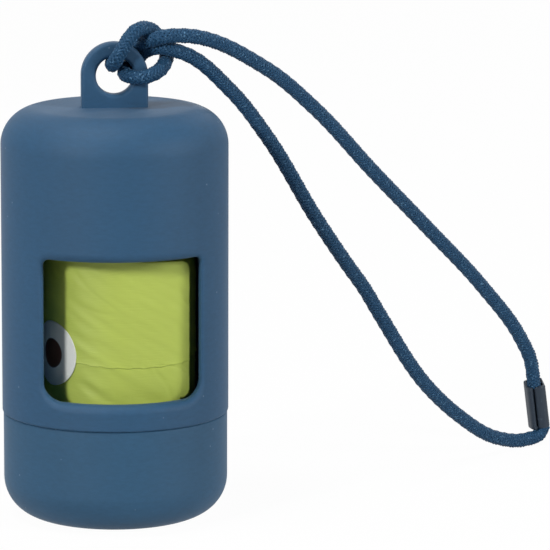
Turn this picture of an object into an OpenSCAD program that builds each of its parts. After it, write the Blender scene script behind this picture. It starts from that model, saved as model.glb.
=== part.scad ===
// Capsule dispenser for a roll of small bags, with a hitched wrist cord.
// The origin is at the middle of the underside, +Z is up and the window faces -Y.

/* [Housing] */
// Outside diameter of the upper housing
body_d = 40; // [37:0.5:60]
// Wall of the housing and of the base cap
wall = 2.2; // [1.4:0.1:2.8]
// Height of the whole capsule without the eyelet
body_h = 72.8; // [66:0.1:90]
// Radius of the rounded top edge
crown_r = 6.6; // [3:0.1:9]
// Rounding of the rims that meet at the seam
seam_r = 0.35; // [0.1:0.05:0.8]

/* [Window] */
// Height of the sill of the window above the underside
sill_z = 23.3; // [23:0.1:28]
// Clear height of the window
window_h = 25.1; // [15:0.1:34]
// Clear width of the window, measured straight across
window_w = 27.2; // [16:0.1:28]
// Radius of the two lower corners of the window
sill_r = 3.2; // [1:0.1:5]
// Radius of the two upper corners of the window
lintel_r = 1; // [0.5:0.1:4]
// Rolled outer edge of the window
lip_r = 1.5; // [0.5:0.1:2]

/* [Eyelet] */
// Width of the eyelet plate and diameter of its arch
eyelet_w = 11.7; // [10:0.1:16]
// Thickness of the eyelet plate
eyelet_t = 3; // [2.2:0.1:4]
// Diameter of the hole through the eyelet
eyelet_hole_d = 6.6; // [5:0.1:7.5]
// Height of the middle of the hole above the top of the capsule
eyelet_rise = 5.6; // [4.5:0.1:9]
// Rounding of the mouths of the hole
hole_lip_r = 0.7; // [0.3:0.05:1]
// Rounding of the outer edges of the eyelet plate
eyelet_edge_r = 0.5; // [0.2:0.05:0.9]

/* [Base cap] */
// Height of the seam, where the base cap ends
seam_z = 18.7; // [16:0.1:20]
// How much narrower the base cap is than the housing
base_step = 0.2; // [0:0.05:1]
// Radius of the rounded foot edge
foot_r = 7; // [3:0.1:9]
// Height of the neck that plugs into the housing
neck_h = 4; // [2.5:0.1:4.2]
// Wall of the neck
neck_t = 1.6; // [1:0.1:2]
// Number of grip ribs round the neck
rib_count = 3; // [2:1:4]
// Height of one grip rib
rib_h = 0.6; // [0.3:0.1:0.8]
// How far a grip rib stands out of the neck
rib_out = 0.25; // [0.1:0.05:0.4]
// Diameter of the low boss that centres the roll
boss_d = 8.6; // [6:0.1:9]
// Height of the boss above the floor
boss_h = 3; // [1:0.1:6]

/* [Bag roll] */
// Diameter of the roll with its outer bag
roll_d = 26.2; // [20:0.1:30]
// Height of the roll
roll_h = 60; // [58:0.5:64]
// Outside diameter of the cardboard core
core_d = 11.6; // [10.5:0.1:14]
// Wall of the cardboard core
core_t = 1.1; // [0.6:0.1:1.2]
// Thickness of the folded film of the outer bag
film_t = 0.3; // [0.2:0.05:0.5]
// Height of the folded edge that runs round the outer bag
fold_z = 28.7; // [28:0.1:36]
// Step of the folded edge
fold_step = 0.12; // [0.05:0.01:0.15]
// Distance of the free edge of the outer bag from the middle plane
flap_x = 13; // [10:0.1:14]
// Direction in which the outer bag leaves the roll
flap_angle = 8; // [4:1:20]
// Height of the lower corner of the free flap
flap_z = 23.8; // [23.5:0.1:25]
// Height of the free flap along its edge
flap_h = 24.2; // [16:0.1:34]
// Radius of the corners of the free edge
flap_r = 1.8; // [0.5:0.1:4]
// Rounding of the edges of the wound film
roll_edge_r = 0.8; // [0.3:0.1:2]

/* [Label] */
// Diameter of the round paper label
label_d = 11.4; // [6:0.1:14]
// Thickness of the label
label_t = 0.1; // [0.05:0.01:0.2]
// Turn of the label from the front of the roll
label_angle = -55; // [-80:1:-20]
// Height of the middle of the label
label_z = 30.4; // [20:0.1:50]

/* [Wrist cord] */
// Diameter of the braided elastic cord
cord_d = 2.4; // [2:0.1:2.6]
// Diameter to which the ferrule squeezes each end of the cord
crimp_d = 1.1; // [0.8:0.1:1.2]

/* [Ferrule] */
// Length of the ferrule along the cord
ferrule_l = 9.2; // [6:0.1:12]
// Diameter of each of the two lobes of the ferrule
lobe_d = 2.2; // [1.8:0.1:3]
// Distance between the middles of the two lobes
lobe_pitch = 1.5; // [1.3:0.1:2.8]
// Depth of the ferrule from the lobes to its flat back
ferrule_t = 3.1; // [2.4:0.1:4]
// How far the flat back stands above the lobes
back_rise = 1; // [0.2:0.1:2]
// Width of the slit between the lobes at the lower end
slit_w = 0.5; // [0.2:0.05:0.8]

/* [Clearances] */
// Gap between the base cap and the housing at the seam
seam_gap = 0.05; // [0.02:0.01:0.2]
// Sliding clearance between the grip ribs and the housing
neck_gap = 0.05; // [0.03:0.01:0.15]
// Gap under the roll and between its layers
roll_gap = 0.1; // [0.05:0.01:0.3]
// Gap between the cord and the bores of the ferrule
crimp_gap = 0.05; // [0.02:0.01:0.1]

/* [Hidden] */
$fn = 96;
body_r = body_d / 2;
bore_r = body_r - wall;
base_r = body_r - base_step;
roof_z = body_h - wall;
neck_r = bore_r - neck_gap - rib_out;
crown_in = max(crown_r - wall, 0.5);
foot_in = max(foot_r - wall, 0.5);
eyelet_z = body_h + eyelet_rise;
roll_z = wall + roll_gap;
film_r = roll_d / 2;
wound_r = film_r - film_t - fold_step - roll_gap;
core_z = roll_z;
bore_x = lobe_pitch / 2;
slit_depth = ferrule_t - lobe_d / 2;
over = 1;

// Middle line of the cord outside the ferrule: up to the hitch, through it and back down
CORD_ROUTE = [
    [83.2, 45, 12.8], [82.6, 44.2, 16.5], [80.2, 42.3, 21.4], [71.8, 36.4, 32.5],
    [48.6, 20.4, 57.8], [27.6, 7.1, 78.4], [11.3, -0.9, 85.5], [8, -1.7, 85.7],
    [6.7, -1.1, 85.1], [4, 2.7, 83], [0.5, 2.9, 81.6], [-0.3, 0.8, 80.3],
    [-0.4, -0.9, 80.3], [0, -2.7, 81.5], [1.2, -3, 83.8], [3.4, -2.3, 86.9],
    [6.4, 0.8, 87], [8.9, 3.2, 83.8], [9.5, 2.7, 81.8], [8.8, 0.8, 80.3],
    [7, -1.9, 79.2], [4.6, -3, 78.4], [2.1, -1.9, 78.6], [1.8, 0.3, 78.7],
    [2.8, 2.5, 78.8], [4.7, 3.2, 79.6], [6.2, 2.6, 81.1], [8.1, 0.1, 83],
    [11.5, 0.3, 82.3], [21, 4.4, 74.7], [35.6, 12.6, 52.3], [55.1, 25.2, 22.4],
    [67, 33.3, 8.7], [75.5, 39.3, 2.8], [82, 43.8, 1.4], [84.7, 45.3, 2],
];
// Depth to which each end of the cord reaches into the ferrule
CRIMP_DEPTH = 3;
CORD_SIDES = 8;
RINGS_PER_SPAN = 2;

// Where the ferrule stands: middle of its lower end, its heading and its lean
FERRULE_AT = [84.7, 45.4, 3.3];
FERRULE_HEADING = 8;
FERRULE_LEAN = -7.5;

// Half outline of a capsule half: a bar of radius r and height h with one rounded corner
module capped_half(r, h, corner) {
    square([r, h - corner]);
    square([r - corner, h]);
    translate([r - corner, h - corner]) circle(corner);
}

// Ring profile with both of its outer corners rounded
module ring_half(r_in, r_out, h, edge) {
    translate([r_in, 0]) square([r_out - edge - r_in, h]);
    translate([r_in, edge]) square([r_out - r_in, h - 2 * edge]);
    for (z = [edge, h - edge]) translate([r_out - edge, z]) circle(edge);
}

// The corner that a rounding of radius r takes off, with its point at the origin
module corner_off(r) {
    difference() {
        translate([-r, -over]) square([r + over, r + over]);
        translate([-r, r]) circle(r);
    }
}

// Outline of the window, counterclockwise from the lower left corner, grown by a margin
function window_outline(grow) =
    let (w = window_w / 2 + grow, low = sill_z - grow, high = sill_z + window_h + grow)
    let (r_low = sill_r + grow, r_high = lintel_r + grow)
    concat(
        [for (a = [180:22.5:270]) [-w + r_low + r_low * cos(a), low + r_low + r_low * sin(a)]],
        [for (t = [-0.75:0.25:0.75]) [t * (w - r_low), low]],
        [for (a = [270:22.5:360]) [w - r_low + r_low * cos(a), low + r_low + r_low * sin(a)]],
        [for (a = [0:22.5:90]) [w - r_high + r_high * cos(a), high - r_high + r_high * sin(a)]],
        [for (t = [0.75:-0.25:-0.75]) [t * (w - r_high), high]],
        [for (a = [90:22.5:180]) [-w + r_high + r_high * cos(a), high - r_high + r_high * sin(a)]]
    );

// Depth of the outside of the housing at a distance x from the middle plane
function front_y(x) = -sqrt(max(body_r * body_r - x * x, 0));

// One ring of the window cutter: the outline grown, at a depth below the outer surface
function window_ring(grow, depth) = [
    for (p = window_outline(grow)) [p[0], front_y(p[0]) + depth, p[1]]
];

// The same outline as a flat ring at a depth y
function flat_ring(grow, y) = [for (p = window_outline(grow)) [p[0], y, p[1]]];

// The window cutter: straight jambs that roll over into the outside of the housing
module window_cutter() {
    last = 60;
    ramp = lip_r / 2;
    edge = lip_r * (1 - cos(last)) + ramp * sin(last);
    closed_loft(concat(
        [flat_ring(0, -bore_r * 0.3)],
        [for (a = [0:20:last]) window_ring(lip_r * (1 - cos(a)), lip_r * (1 - sin(a)))],
        [window_ring(edge, lip_r * (1 - sin(last)) - ramp * cos(last)), flat_ring(edge, -body_r - over)]
    ));
}

// A closed solid through rings of equal counts of points
module closed_loft(rings) {
    n = len(rings[0]);
    m = len(rings);
    points = [for (ring = rings) for (p = ring) p];
    sides = [
        for (k = [0:m - 2]) for (i = [0:n - 1])
            let (a = k * n + i, b = k * n + (i + 1) % n)
            each [[a, a + n, b], [b, a + n, b + n]]
    ];
    first_cap = [for (i = [1:n - 2]) [0, i, i + 1]];
    last_cap = [for (i = [1:n - 2]) [(m - 1) * n, (m - 1) * n + i + 1, (m - 1) * n + i]];
    polyhedron(points, concat(sides, first_cap, last_cap));
}

// Shell of the housing before the window is cut, open at the seam
module housing_shell() {
    rim = seam_z + seam_gap;
    rotate_extrude() difference() {
        capped_half(body_r, body_h, crown_r);
        capped_half(bore_r, roof_z, crown_in);
        translate([-over, -over]) square([body_r + 2 * over, rim + over]);
        translate([body_r, rim]) corner_off(seam_r);
    }
}

// Eyelet plate on the crown: a bar with a half-round top, all outer edges rounded
module eyelet_plate() {
    translate([0, 0, roof_z + wall / 2]) linear_extrude(eyelet_z - roof_z - wall / 2)
        edge_rounded_bar();
    translate([0, 0, eyelet_z]) rotate([90, 0, 0]) rotate_extrude(angle = 180)
        intersection() {
            edge_rounded_bar();
            translate([0, -eyelet_t]) square([eyelet_w, 2 * eyelet_t]);
        }
}

// Cross section of the eyelet plate
module edge_rounded_bar() {
    x = eyelet_w / 2 - eyelet_edge_r;
    y = eyelet_t / 2 - eyelet_edge_r;
    square([eyelet_w, 2 * y], center = true);
    square([2 * x, eyelet_t], center = true);
    for (sx = [-1, 1], sy = [-1, 1]) translate([sx * x, sy * y]) circle(eyelet_edge_r);
}

// Hole through the eyelet with rounded mouths
module eyelet_bore() {
    r = eyelet_hole_d / 2;
    translate([0, 0, eyelet_z]) rotate([90, 0, 0]) rotate_extrude() {
        translate([0, -eyelet_t]) square([r, 2 * eyelet_t]);
        for (s = [0, 1]) mirror([0, s]) translate([0, eyelet_t / 2 - hole_lip_r]) difference() {
            square([r + hole_lip_r, hole_lip_r + over]);
            translate([r + hole_lip_r, 0]) circle(hole_lip_r);
        }
    }
}

// Upper housing with its window and the eyelet for the wrist cord
module housing() {
    color("#3a5c78") difference() {
        union() {
            housing_shell();
            eyelet_plate();
        }
        window_cutter();
        eyelet_bore();
    }
}

// Lower cap: a cup whose ribbed neck plugs into the housing
module base_cap() {
    color("#3d5f7a") {
        rotate_extrude() difference() {
            translate([0, seam_z]) mirror([0, 1]) capped_half(base_r, seam_z, foot_r);
            translate([0, seam_z]) mirror([0, 1])
                capped_half(neck_r - neck_t, seam_z - wall, min(foot_in, neck_r - neck_t));
            translate([base_r, seam_z]) mirror([0, 1]) corner_off(seam_r);
        }
        neck();
        translate([0, 0, wall / 2]) cylinder(d = boss_d, h = wall / 2 + boss_h);
    }
}

// Neck of the base cap with its grip ribs
module neck() {
    foot = seam_z - wall;
    rib_pitch = neck_h / (rib_count + 0.5);
    rotate_extrude() {
        translate([neck_r - neck_t, foot]) square([neck_t, wall + neck_h]);
        for (i = [1:rib_count]) translate([neck_r, seam_z + i * rib_pitch])
            translate([-over / 2, -rib_h / 2]) square([over / 2 + rib_out, rib_h]);
    }
}

// Wound film of the bags
module bag_roll() {
    color("#a9b957") translate([0, 0, roll_z]) rotate_extrude()
        ring_half(core_d / 2 + roll_gap / 2, wound_r, roll_h, roll_edge_r);
}

// Cardboard tube that the film is wound on
module roll_core() {
    color("#b59b75") translate([0, 0, core_z]) difference() {
        cylinder(d = core_d, h = roll_h);
        translate([0, 0, -over]) cylinder(d = core_d - 2 * core_t, h = roll_h + 2 * over);
    }
}

// Outermost bag, folded along its height: half round the roll, then straight on as a flap
module outer_bag() {
    inner = film_r - film_t - fold_step;
    low = roll_z + roll_edge_r;
    high = roll_z + roll_h - roll_edge_r;
    flap_l = (flap_x - inner * sin(flap_angle)) / cos(flap_angle);
    flap_top = flap_z + flap_h;
    color("#afbf5b") rotate(flap_angle) {
        rotate(90) rotate_extrude(angle = 180) {
            translate([inner, low]) square([film_t, fold_z - low]);
            translate([inner, fold_z]) square([film_t + fold_step, high - fold_z]);
        }
        translate([0, -inner, fold_z]) rotate([90, 0, 0]) {
            linear_extrude(film_t) mirror([0, 1]) capped_half(flap_l, fold_z - flap_z, flap_r);
            linear_extrude(film_t + fold_step) capped_half(flap_l, flap_top - fold_z, flap_r);
        }
    }
}

// Round paper label that lies on the outer bag
module roll_label() {
    inner = film_r + roll_gap / 2;
    color("#e6e8e2") intersection() {
        translate([0, 0, label_z - label_d]) difference() {
            cylinder(r = inner + label_t, h = 2 * label_d);
            translate([0, 0, -over]) cylinder(r = inner, h = 2 * label_d + 2 * over);
        }
        rotate(label_angle) translate([0, 0, label_z]) rotate([90, 0, 0])
            cylinder(d = label_d, h = 2 * film_r);
    }
}

// Direction of the cord at a route point, weighted by the lengths of its two spans
function route_tangent(p, i) =
    i == 0 ? unit(p[1] - p[0]) :
    i == len(p) - 1 ? unit(p[i] - p[i - 1]) :
    let (a = norm(p[i] - p[i - 1]), b = norm(p[i + 1] - p[i]))
    (unit(p[i] - p[i - 1]) * b + unit(p[i + 1] - p[i]) * a) / (a + b);

function unit(v) = v / norm(v);

// Point at a share t of the span that starts at route point i
function span_point(p, i, t) =
    let (l = norm(p[i + 1] - p[i]))
    p[i] * (2 * t * t * t - 3 * t * t + 1) + p[i + 1] * (3 * t * t - 2 * t * t * t)
    + route_tangent(p, i) * l * (t * t * t - 2 * t * t + t)
    + route_tangent(p, i + 1) * l * (t * t * t - t * t);

// Middle line of the cord with evenly many rings in each span of its route
function cord_line(p, per_span) = concat(
    [for (i = [0:len(p) - 2]) for (k = [0:per_span - 1]) span_point(p, i, k / per_span)],
    [p[len(p) - 1]]
);

// Point on the middle line of one of the ferrule's bores, at a height along the ferrule
function bore_point(side, up) =
    let (x = side * bore_x, c = cos(FERRULE_LEAN), s = sin(FERRULE_LEAN))
    let (out = x * c + up * s)
    FERRULE_AT + [out * cos(FERRULE_HEADING), out * sin(FERRULE_HEADING), up * c - x * s];

function line_direction(line, i) =
    unit(line[min(i + 1, len(line) - 1)] - line[max(i - 1, 0)]);

// Part of v that is square to direction d, at unit length
function squared(v, d) = unit(v - d * (v * d));

// Normals that are carried along the line without twist
function carried_normals(line) = [
    for (
        i = 0, n = squared([0, 1, 0], line_direction(line, 0));
        i < len(line);
        i = i + 1, n = i < len(line) ? squared(n, line_direction(line, i)) : n
    ) n
];

// Braided elastic cord: a loop from the ferrule through the eyelet and back
module wrist_cord() {
    mouth = ferrule_l - back_rise;
    line = cord_line(concat(
        [bore_point(-1, mouth - CRIMP_DEPTH), bore_point(-1, mouth)],
        CORD_ROUTE,
        [bore_point(1, 0), bore_point(1, CRIMP_DEPTH)]
    ), RINGS_PER_SPAN);
    normals = carried_normals(line);
    last = len(line) - 1;
    rings = [
        for (i = [0:last])
            let (d = line_direction(line, i), n = normals[i], b = cross(d, n))
            let (r = (min(i, last - i) <= RINGS_PER_SPAN ? crimp_d : cord_d) / 2)
            [for (k = [0:CORD_SIDES - 1])
                let (a = 360 * k / CORD_SIDES)
                line[i] + r * (n * cos(a) + b * sin(a))]
    ];
    color("#24405a") closed_loft(rings);
}

// Outline of the ferrule: two lobes at the front and a flat back
module ferrule_plan() {
    depth = (ferrule_t - lobe_d) / 2;
    for (s = [-1, 1]) translate([s * lobe_pitch / 2, -depth]) {
        circle(d = lobe_d);
        translate([-lobe_d / 2, 0]) square([lobe_d, depth]);
    }
    back_plan();
}

// Back half of the ferrule's outline, which also makes its raised rim
module back_plan() {
    w = lobe_pitch + lobe_d;
    r = lobe_d / 4;
    translate([-w / 2, 0]) square([w, ferrule_t / 2 - r]);
    translate([r - w / 2, 0]) square([w - 2 * r, ferrule_t / 2]);
    for (s = [-1, 1]) translate([s * (w / 2 - r), ferrule_t / 2 - r]) circle(r);
}

// Crimped metal sleeve that joins the two ends of the cord
module cord_ferrule() {
    mouth = ferrule_l - back_rise;
    color("#35414f") translate(FERRULE_AT)
        rotate([0, 0, FERRULE_HEADING]) rotate([0, FERRULE_LEAN, 0]) difference() {
            union() {
                linear_extrude(mouth) ferrule_plan();
                linear_extrude(ferrule_l) back_plan();
            }
            for (s = [-1, 1]) translate([s * bore_x, 0, -over])
                cylinder(d = crimp_d + 2 * crimp_gap, h = ferrule_l + 2 * over);
            translate([-bore_x, 0, mouth]) cylinder(d = cord_d + 2 * crimp_gap, h = ferrule_l);
            translate([0, -ferrule_t, 0]) ferrule_slit(mouth);
        }
}

// Wedge-shaped slit that widens towards the lower end
module ferrule_slit(h) {
    rotate([90, 0, 0]) mirror([0, 0, 1]) linear_extrude(ferrule_t - slit_depth)
        polygon([[-slit_w / 2, -over], [slit_w / 2, -over], [slit_w / 5, h + over], [-slit_w / 5, h + over]]);
}

base_cap();
housing();
bag_roll();
outer_bag();
roll_core();
roll_label();
wrist_cord();
cord_ferrule();
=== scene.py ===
"""Looks of a capsule dispenser for small bags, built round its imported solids.

Everything is worked out in millimetres in the frame of the solids and put into the
meshes in metres. Run in Blender as a script.
"""

import math

import bmesh
import bpy
import numpy as np
from mathutils import Matrix, Vector


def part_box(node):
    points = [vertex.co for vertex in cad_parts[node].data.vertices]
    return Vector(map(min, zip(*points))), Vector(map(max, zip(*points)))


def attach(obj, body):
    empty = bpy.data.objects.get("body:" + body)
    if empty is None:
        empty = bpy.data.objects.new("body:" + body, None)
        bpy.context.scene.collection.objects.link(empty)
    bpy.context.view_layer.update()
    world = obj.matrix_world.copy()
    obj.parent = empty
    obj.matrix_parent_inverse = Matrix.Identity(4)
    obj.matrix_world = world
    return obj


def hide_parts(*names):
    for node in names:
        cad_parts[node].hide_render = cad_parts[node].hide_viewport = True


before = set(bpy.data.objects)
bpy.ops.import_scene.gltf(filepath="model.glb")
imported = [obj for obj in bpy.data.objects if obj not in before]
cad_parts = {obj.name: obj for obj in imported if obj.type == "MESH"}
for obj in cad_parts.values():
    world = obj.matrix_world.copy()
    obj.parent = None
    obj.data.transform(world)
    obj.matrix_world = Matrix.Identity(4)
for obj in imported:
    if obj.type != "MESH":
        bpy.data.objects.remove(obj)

bl_info = {
    "name": "Bag Dispenser Capsule",
    "version": (1, 0, 0),
    "blender": (4, 5, 0),
    "location": "View3D > Sidebar > Capsule",
    "description": "Builds the housing, bag roll and wrist cord of a capsule dispenser",
    "category": "Add Mesh",
}

MM = 0.001
TAU = 2 * math.pi


def srgb(code):
    """Linear red, green and blue of an sRGB hex colour such as "#3a5c78"."""
    v = np.array([int(code[i : i + 2], 16) / 255 for i in (1, 3, 5)])
    low, high = v / 12.92, ((v + 0.055) / 1.055) ** 2.4
    return tuple(float(x) for x in np.where(v <= 0.04045, low, high))


def node_box(name):
    """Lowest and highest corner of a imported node, in millimetres."""
    low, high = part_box(name)
    return np.array(low) / MM, np.array(high) / MM


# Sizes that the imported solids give
HOUSING_LOW, HOUSING_HIGH = node_box("housing")
CAP_LOW, CAP_HIGH = node_box("base_cap")
ROLL_LOW, ROLL_HIGH = node_box("bag_roll")
CORE_LOW, CORE_HIGH = node_box("roll_core")
BAG_LOW, BAG_HIGH = node_box("outer_bag")
BODY_R = (HOUSING_HIGH[0] - HOUSING_LOW[0]) / 2
CAP_R = (CAP_HIGH[0] - CAP_LOW[0]) / 2
ROLL_R = (ROLL_HIGH[0] - ROLL_LOW[0]) / 2
CORE_R = (CORE_HIGH[0] - CORE_LOW[0]) / 2
BAG_R = -BAG_LOW[1]
RIM_Z = HOUSING_LOW[2]
NECK_TOP = CAP_HIGH[2]

# Sizes of the housing and the cap
WALL = 2.2
BORE_R = BODY_R - WALL
TOP_Z = 72.8
ROOF_Z = TOP_Z - WALL
CROWN_R = 6.6
SEAM_Z = 18.7
SEAM_R = 0.35
FOOT_R = 7.0
NECK_R = BORE_R - 0.3
NECK_WALL = 1.6
RIB_COUNT = 3
RIB_H = 0.6
RIB_OUT = 0.25
NECK_EDGE = 0.3
BOSS_R = 4.3
BOSS_H = 3.0
BOSS_FOOT = 0.3
BOSS_EDGE = 0.4

# Sizes of the window
SILL_Z = 23.3
WINDOW_H = 25.1
WINDOW_W = 27.2
SILL_R = 3.2
LINTEL_R = 1.0

# Sizes of the eyelet
EYELET_R = 5.85
EYELET_HALF_T = 1.5
EYELET_Z = 78.4
HOLE_R = 3.3
HOLE_LIP = 0.7
EYELET_EDGE = 0.5

# Sizes of the roll's core and its outer bag
CORE_T = 1.1
FILM_T = 0.3
FOLD_Z = 28.7
FLAP_X = 12.0
FLAP_ANGLE = math.radians(8)
FLAP_LOW = 22.9
FLAP_HIGH = 47.3

# Sizes of the label
LABEL_R = 5.7
LABEL_Z = 30.4
LABEL_TURN = math.radians(-61)

# Sizes of the ferrule: place of its lower end, heading, lean and outline
FERRULE_AT = np.array([84.7, 45.4, 3.3])
FERRULE_HEADING = math.radians(8)
FERRULE_LEAN = math.radians(-7.5)
FERRULE_L = 9.2
BACK_RISE = 1.0
LOBE_D = 2.2
LOBE_PITCH = 1.5
VALLEY_X = -0.7
FERRULE_T = 3.1
CORD_D = 2.4
CRIMP_D = 1.1
CRIMP_DEPTH = 3.0

# The cord's route outside the ferrule, tighter in the knot than the solid's
CORD_ROUTE = np.array([
    [83.3, 45, 12.8], [82.6, 44.2, 16.5], [80.2, 42.3, 21.4], [71.8, 36.4, 32.5],
    [60.2, 28.4, 45.1], [48.6, 20.4, 57.4], [37.3, 13.3, 69.8], [27.6, 7.1, 78.2],
    [11.3, -0.9, 85.3], [8.2, -1.6, 85.2], [6.5, -0.9, 84.6], [4, 2.7, 83.4],
    [0.6, 2.9, 82], [-0.3, 0.8, 80.4], [-0.4, -0.9, 80.3], [0, -2.7, 81.3],
    [1.2, -3, 83.4], [3.4, -2.3, 86.3], [6.3, 0.7, 86.3], [8.8, 3.1, 83.4],
    [9.5, 2.7, 81.5], [8.8, 0.8, 80], [7, -1.9, 78.9], [4.6, -3, 78.3],
    [2.1, -1.9, 78.5], [1.8, 0.3, 78.9], [2.7, 2.5, 79.6], [4.3, 3.2, 80.9],
    [5.7, 2.6, 82.2], [7.9, 0.3, 83.1], [11.5, 0.3, 82.3], [21, 4.4, 74.7],
    [28, 8.4, 65.7], [37.5, 13.8, 50], [44, 18, 40.3], [47.2, 20.1, 35.8],
    [50.5, 22.2, 30.3], [60.6, 28.9, 15.1], [67, 33.3, 8.7], [75.5, 39.3, 2.8],
    [82, 43.8, 1.4], [84.7, 45.3, 2],
])


class CapsuleSettings(bpy.types.PropertyGroup):
    """Sizes and colour of the moulded pieces."""

    lip: bpy.props.FloatProperty(
        name="Window lip", description="Radius of the rolled outer edge of the window",
        default=1.5 * MM, min=0.5 * MM, max=2 * MM, unit="LENGTH",
    )
    shell_colour: bpy.props.FloatVectorProperty(
        name="Housing", description="Colour of the housing's plastic",
        subtype="COLOR", size=3, min=0, max=1, default=srgb("#265173"),
    )
    cap_colour: bpy.props.FloatVectorProperty(
        name="Base cap", description="Colour of the base cap's plastic",
        subtype="COLOR", size=3, min=0, max=1, default=srgb("#2a5575"),
    )


class RollSettings(bpy.types.PropertyGroup):
    """Looks of the wound bags."""

    film_colour: bpy.props.FloatVectorProperty(
        name="Film", description="Colour of the bags' film",
        subtype="COLOR", size=3, min=0, max=1, default=srgb("#bdce5d"),
    )
    crease: bpy.props.FloatProperty(
        name="Crease", description="Height of the creases in the outer bag",
        default=0.22 * MM, min=0, max=0.4 * MM, unit="LENGTH",
    )
    motif_colour: bpy.props.FloatVectorProperty(
        name="Label dot", description="Colour of the plain dot on the label",
        subtype="COLOR", size=3, min=0, max=1, default=srgb("#5a3a2a"),
    )


class CordSettings(bpy.types.PropertyGroup):
    """Build and colour of the braided cord."""

    strands: bpy.props.IntProperty(
        name="Strands each way", description="Strands that wind one way round the cord",
        default=8, min=4, max=12,
    )
    lay_length: bpy.props.FloatProperty(
        name="Lay", description="Length of cord in which a strand goes once round",
        default=5.2 * MM, min=3 * MM, max=12 * MM, unit="LENGTH",
    )
    yarn_colour: bpy.props.FloatVectorProperty(
        name="Yarn", description="Colour of the cord's yarn",
        subtype="COLOR", size=3, min=0, max=1, default=srgb("#1a4668"),
    )


class StudioSettings(bpy.types.PropertyGroup):
    """Levels of the studio light."""

    tent: bpy.props.FloatProperty(
        name="Tent", description="Strength of the even light all round",
        default=0.03, min=0, max=2,
    )
    key: bpy.props.FloatProperty(
        name="Key", description="Power of the low lamp at the front left",
        default=7.3, min=0, max=60, unit="POWER",
    )
    side: bpy.props.FloatProperty(
        name="Side", description="Power of the wide lamp at the right",
        default=7.0, min=0, max=60, unit="POWER",
    )
    high: bpy.props.FloatProperty(
        name="High", description="Power of the high lamp at the left",
        default=7.0, min=0, max=60, unit="POWER",
    )
    rim: bpy.props.FloatProperty(
        name="Rim", description="Power of the low lamp behind on the right",
        default=2.0, min=0, max=60, unit="POWER",
    )


def grid_quads(rows, cols, close_rows=False, close_cols=False):
    """Quads of a grid of points counted row by row; a closed side joins its last line to its first."""
    r = np.arange(rows if close_rows else rows - 1)[:, None]
    c = np.arange(cols if close_cols else cols - 1)[None, :]
    r1, c1 = (r + 1) % rows, (c + 1) % cols
    corners = np.broadcast_arrays(r * cols + c, r * cols + c1, r1 * cols + c1, r1 * cols + c)
    return np.stack([k.ravel() for k in corners], axis=1)


def welded(points, quads):
    """The same surface with points within a thousandth of a millimetre made one, as a list of faces."""
    key = np.round(points * 1000).astype(np.int64)
    _, first, back = np.unique(key, axis=0, return_index=True, return_inverse=True)
    quads = back.ravel()[quads]
    same = quads == np.roll(quads, -1, axis=1)
    whole = quads[~same.any(axis=1)]
    faces = whole.tolist()
    for corner in range(4):
        rest = quads[same[:, corner] & (same.sum(axis=1) == 1)]
        keep = [k for k in range(4) if k != corner]
        faces += rest[:, keep].tolist()
    return points[first], faces


def joined(parts):
    """Several (points, quads) surfaces as one."""
    points, quads, n = [], [], 0
    for p, q in parts:
        points.append(p.reshape(-1, 3))
        quads.append(q + n)
        n += len(points[-1])
    return np.vstack(points), np.vstack(quads)


def piece(name, surface, body, material, replaced=()):
    """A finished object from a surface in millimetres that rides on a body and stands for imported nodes."""
    points, faces = welded(*surface)
    mesh = bpy.data.meshes.new(name)
    mesh.from_pydata((points * MM).tolist(), [], faces)
    mesh.validate()
    shell = bmesh.new()
    shell.from_mesh(mesh)
    bmesh.ops.recalc_face_normals(shell, faces=shell.faces)
    shell.to_mesh(mesh)
    shell.free()
    mesh.polygons.foreach_set("use_smooth", np.ones(len(mesh.polygons), dtype=bool))
    mesh.update()
    obj = bpy.data.objects.new(name, mesh)
    bpy.context.scene.collection.objects.link(obj)
    mesh.materials.append(material)
    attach(obj, body)
    if replaced:
        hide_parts(*replaced)
    return obj


def arc(cx, cz, r, start, end, steps):
    """Points on an arc about (cx, cz), from one angle to another in degrees."""
    a = np.radians(np.linspace(start, end, steps + 1))
    return np.stack([cx + r * np.cos(a), cz + r * np.sin(a)], axis=1)


def line(x0, z0, x1, z1, steps):
    """Points on a straight line in even steps."""
    t = np.linspace(0, 1, steps + 1)[:, None]
    return np.array([x0, z0]) * (1 - t) + np.array([x1, z1]) * t


def turned(profile, segments):
    """A profile of (radius, height) turned once round Z: x = r sin a, y = -r cos a."""
    a = np.arange(segments) * TAU / segments
    r, z = profile[:, :1], profile[:, 1:]
    ring = np.stack([r * np.sin(a), -r * np.cos(a), z + 0 * a], axis=2)
    return ring.reshape(-1, 3), grid_quads(len(profile), segments, close_cols=True)


# Materials


def add(tree, kind, settings=None, **links):
    """Adds one shader node, sets its inputs or fields by name and links its inputs to other sockets."""
    made = tree.nodes.new(kind)
    for key, value in (settings or {}).items():
        if key in made.inputs:
            made.inputs[key].default_value = value
        else:
            setattr(made, key, value)
    for key, socket in links.items():
        tree.links.new(made.inputs[key.replace("_", " ")], socket)
    return made


def new_material(name):
    """An empty node material with its output node."""
    made = bpy.data.materials.new(name)
    made.use_nodes = True
    made.node_tree.nodes.clear()
    return made, made.node_tree, made.node_tree.nodes.new("ShaderNodeOutputMaterial")


def scaled(colour, factor):
    """A colour made lighter or darker by a factor, held at white, with full alpha."""
    return (*[min(c * factor, 1) for c in colour], 1)


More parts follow.
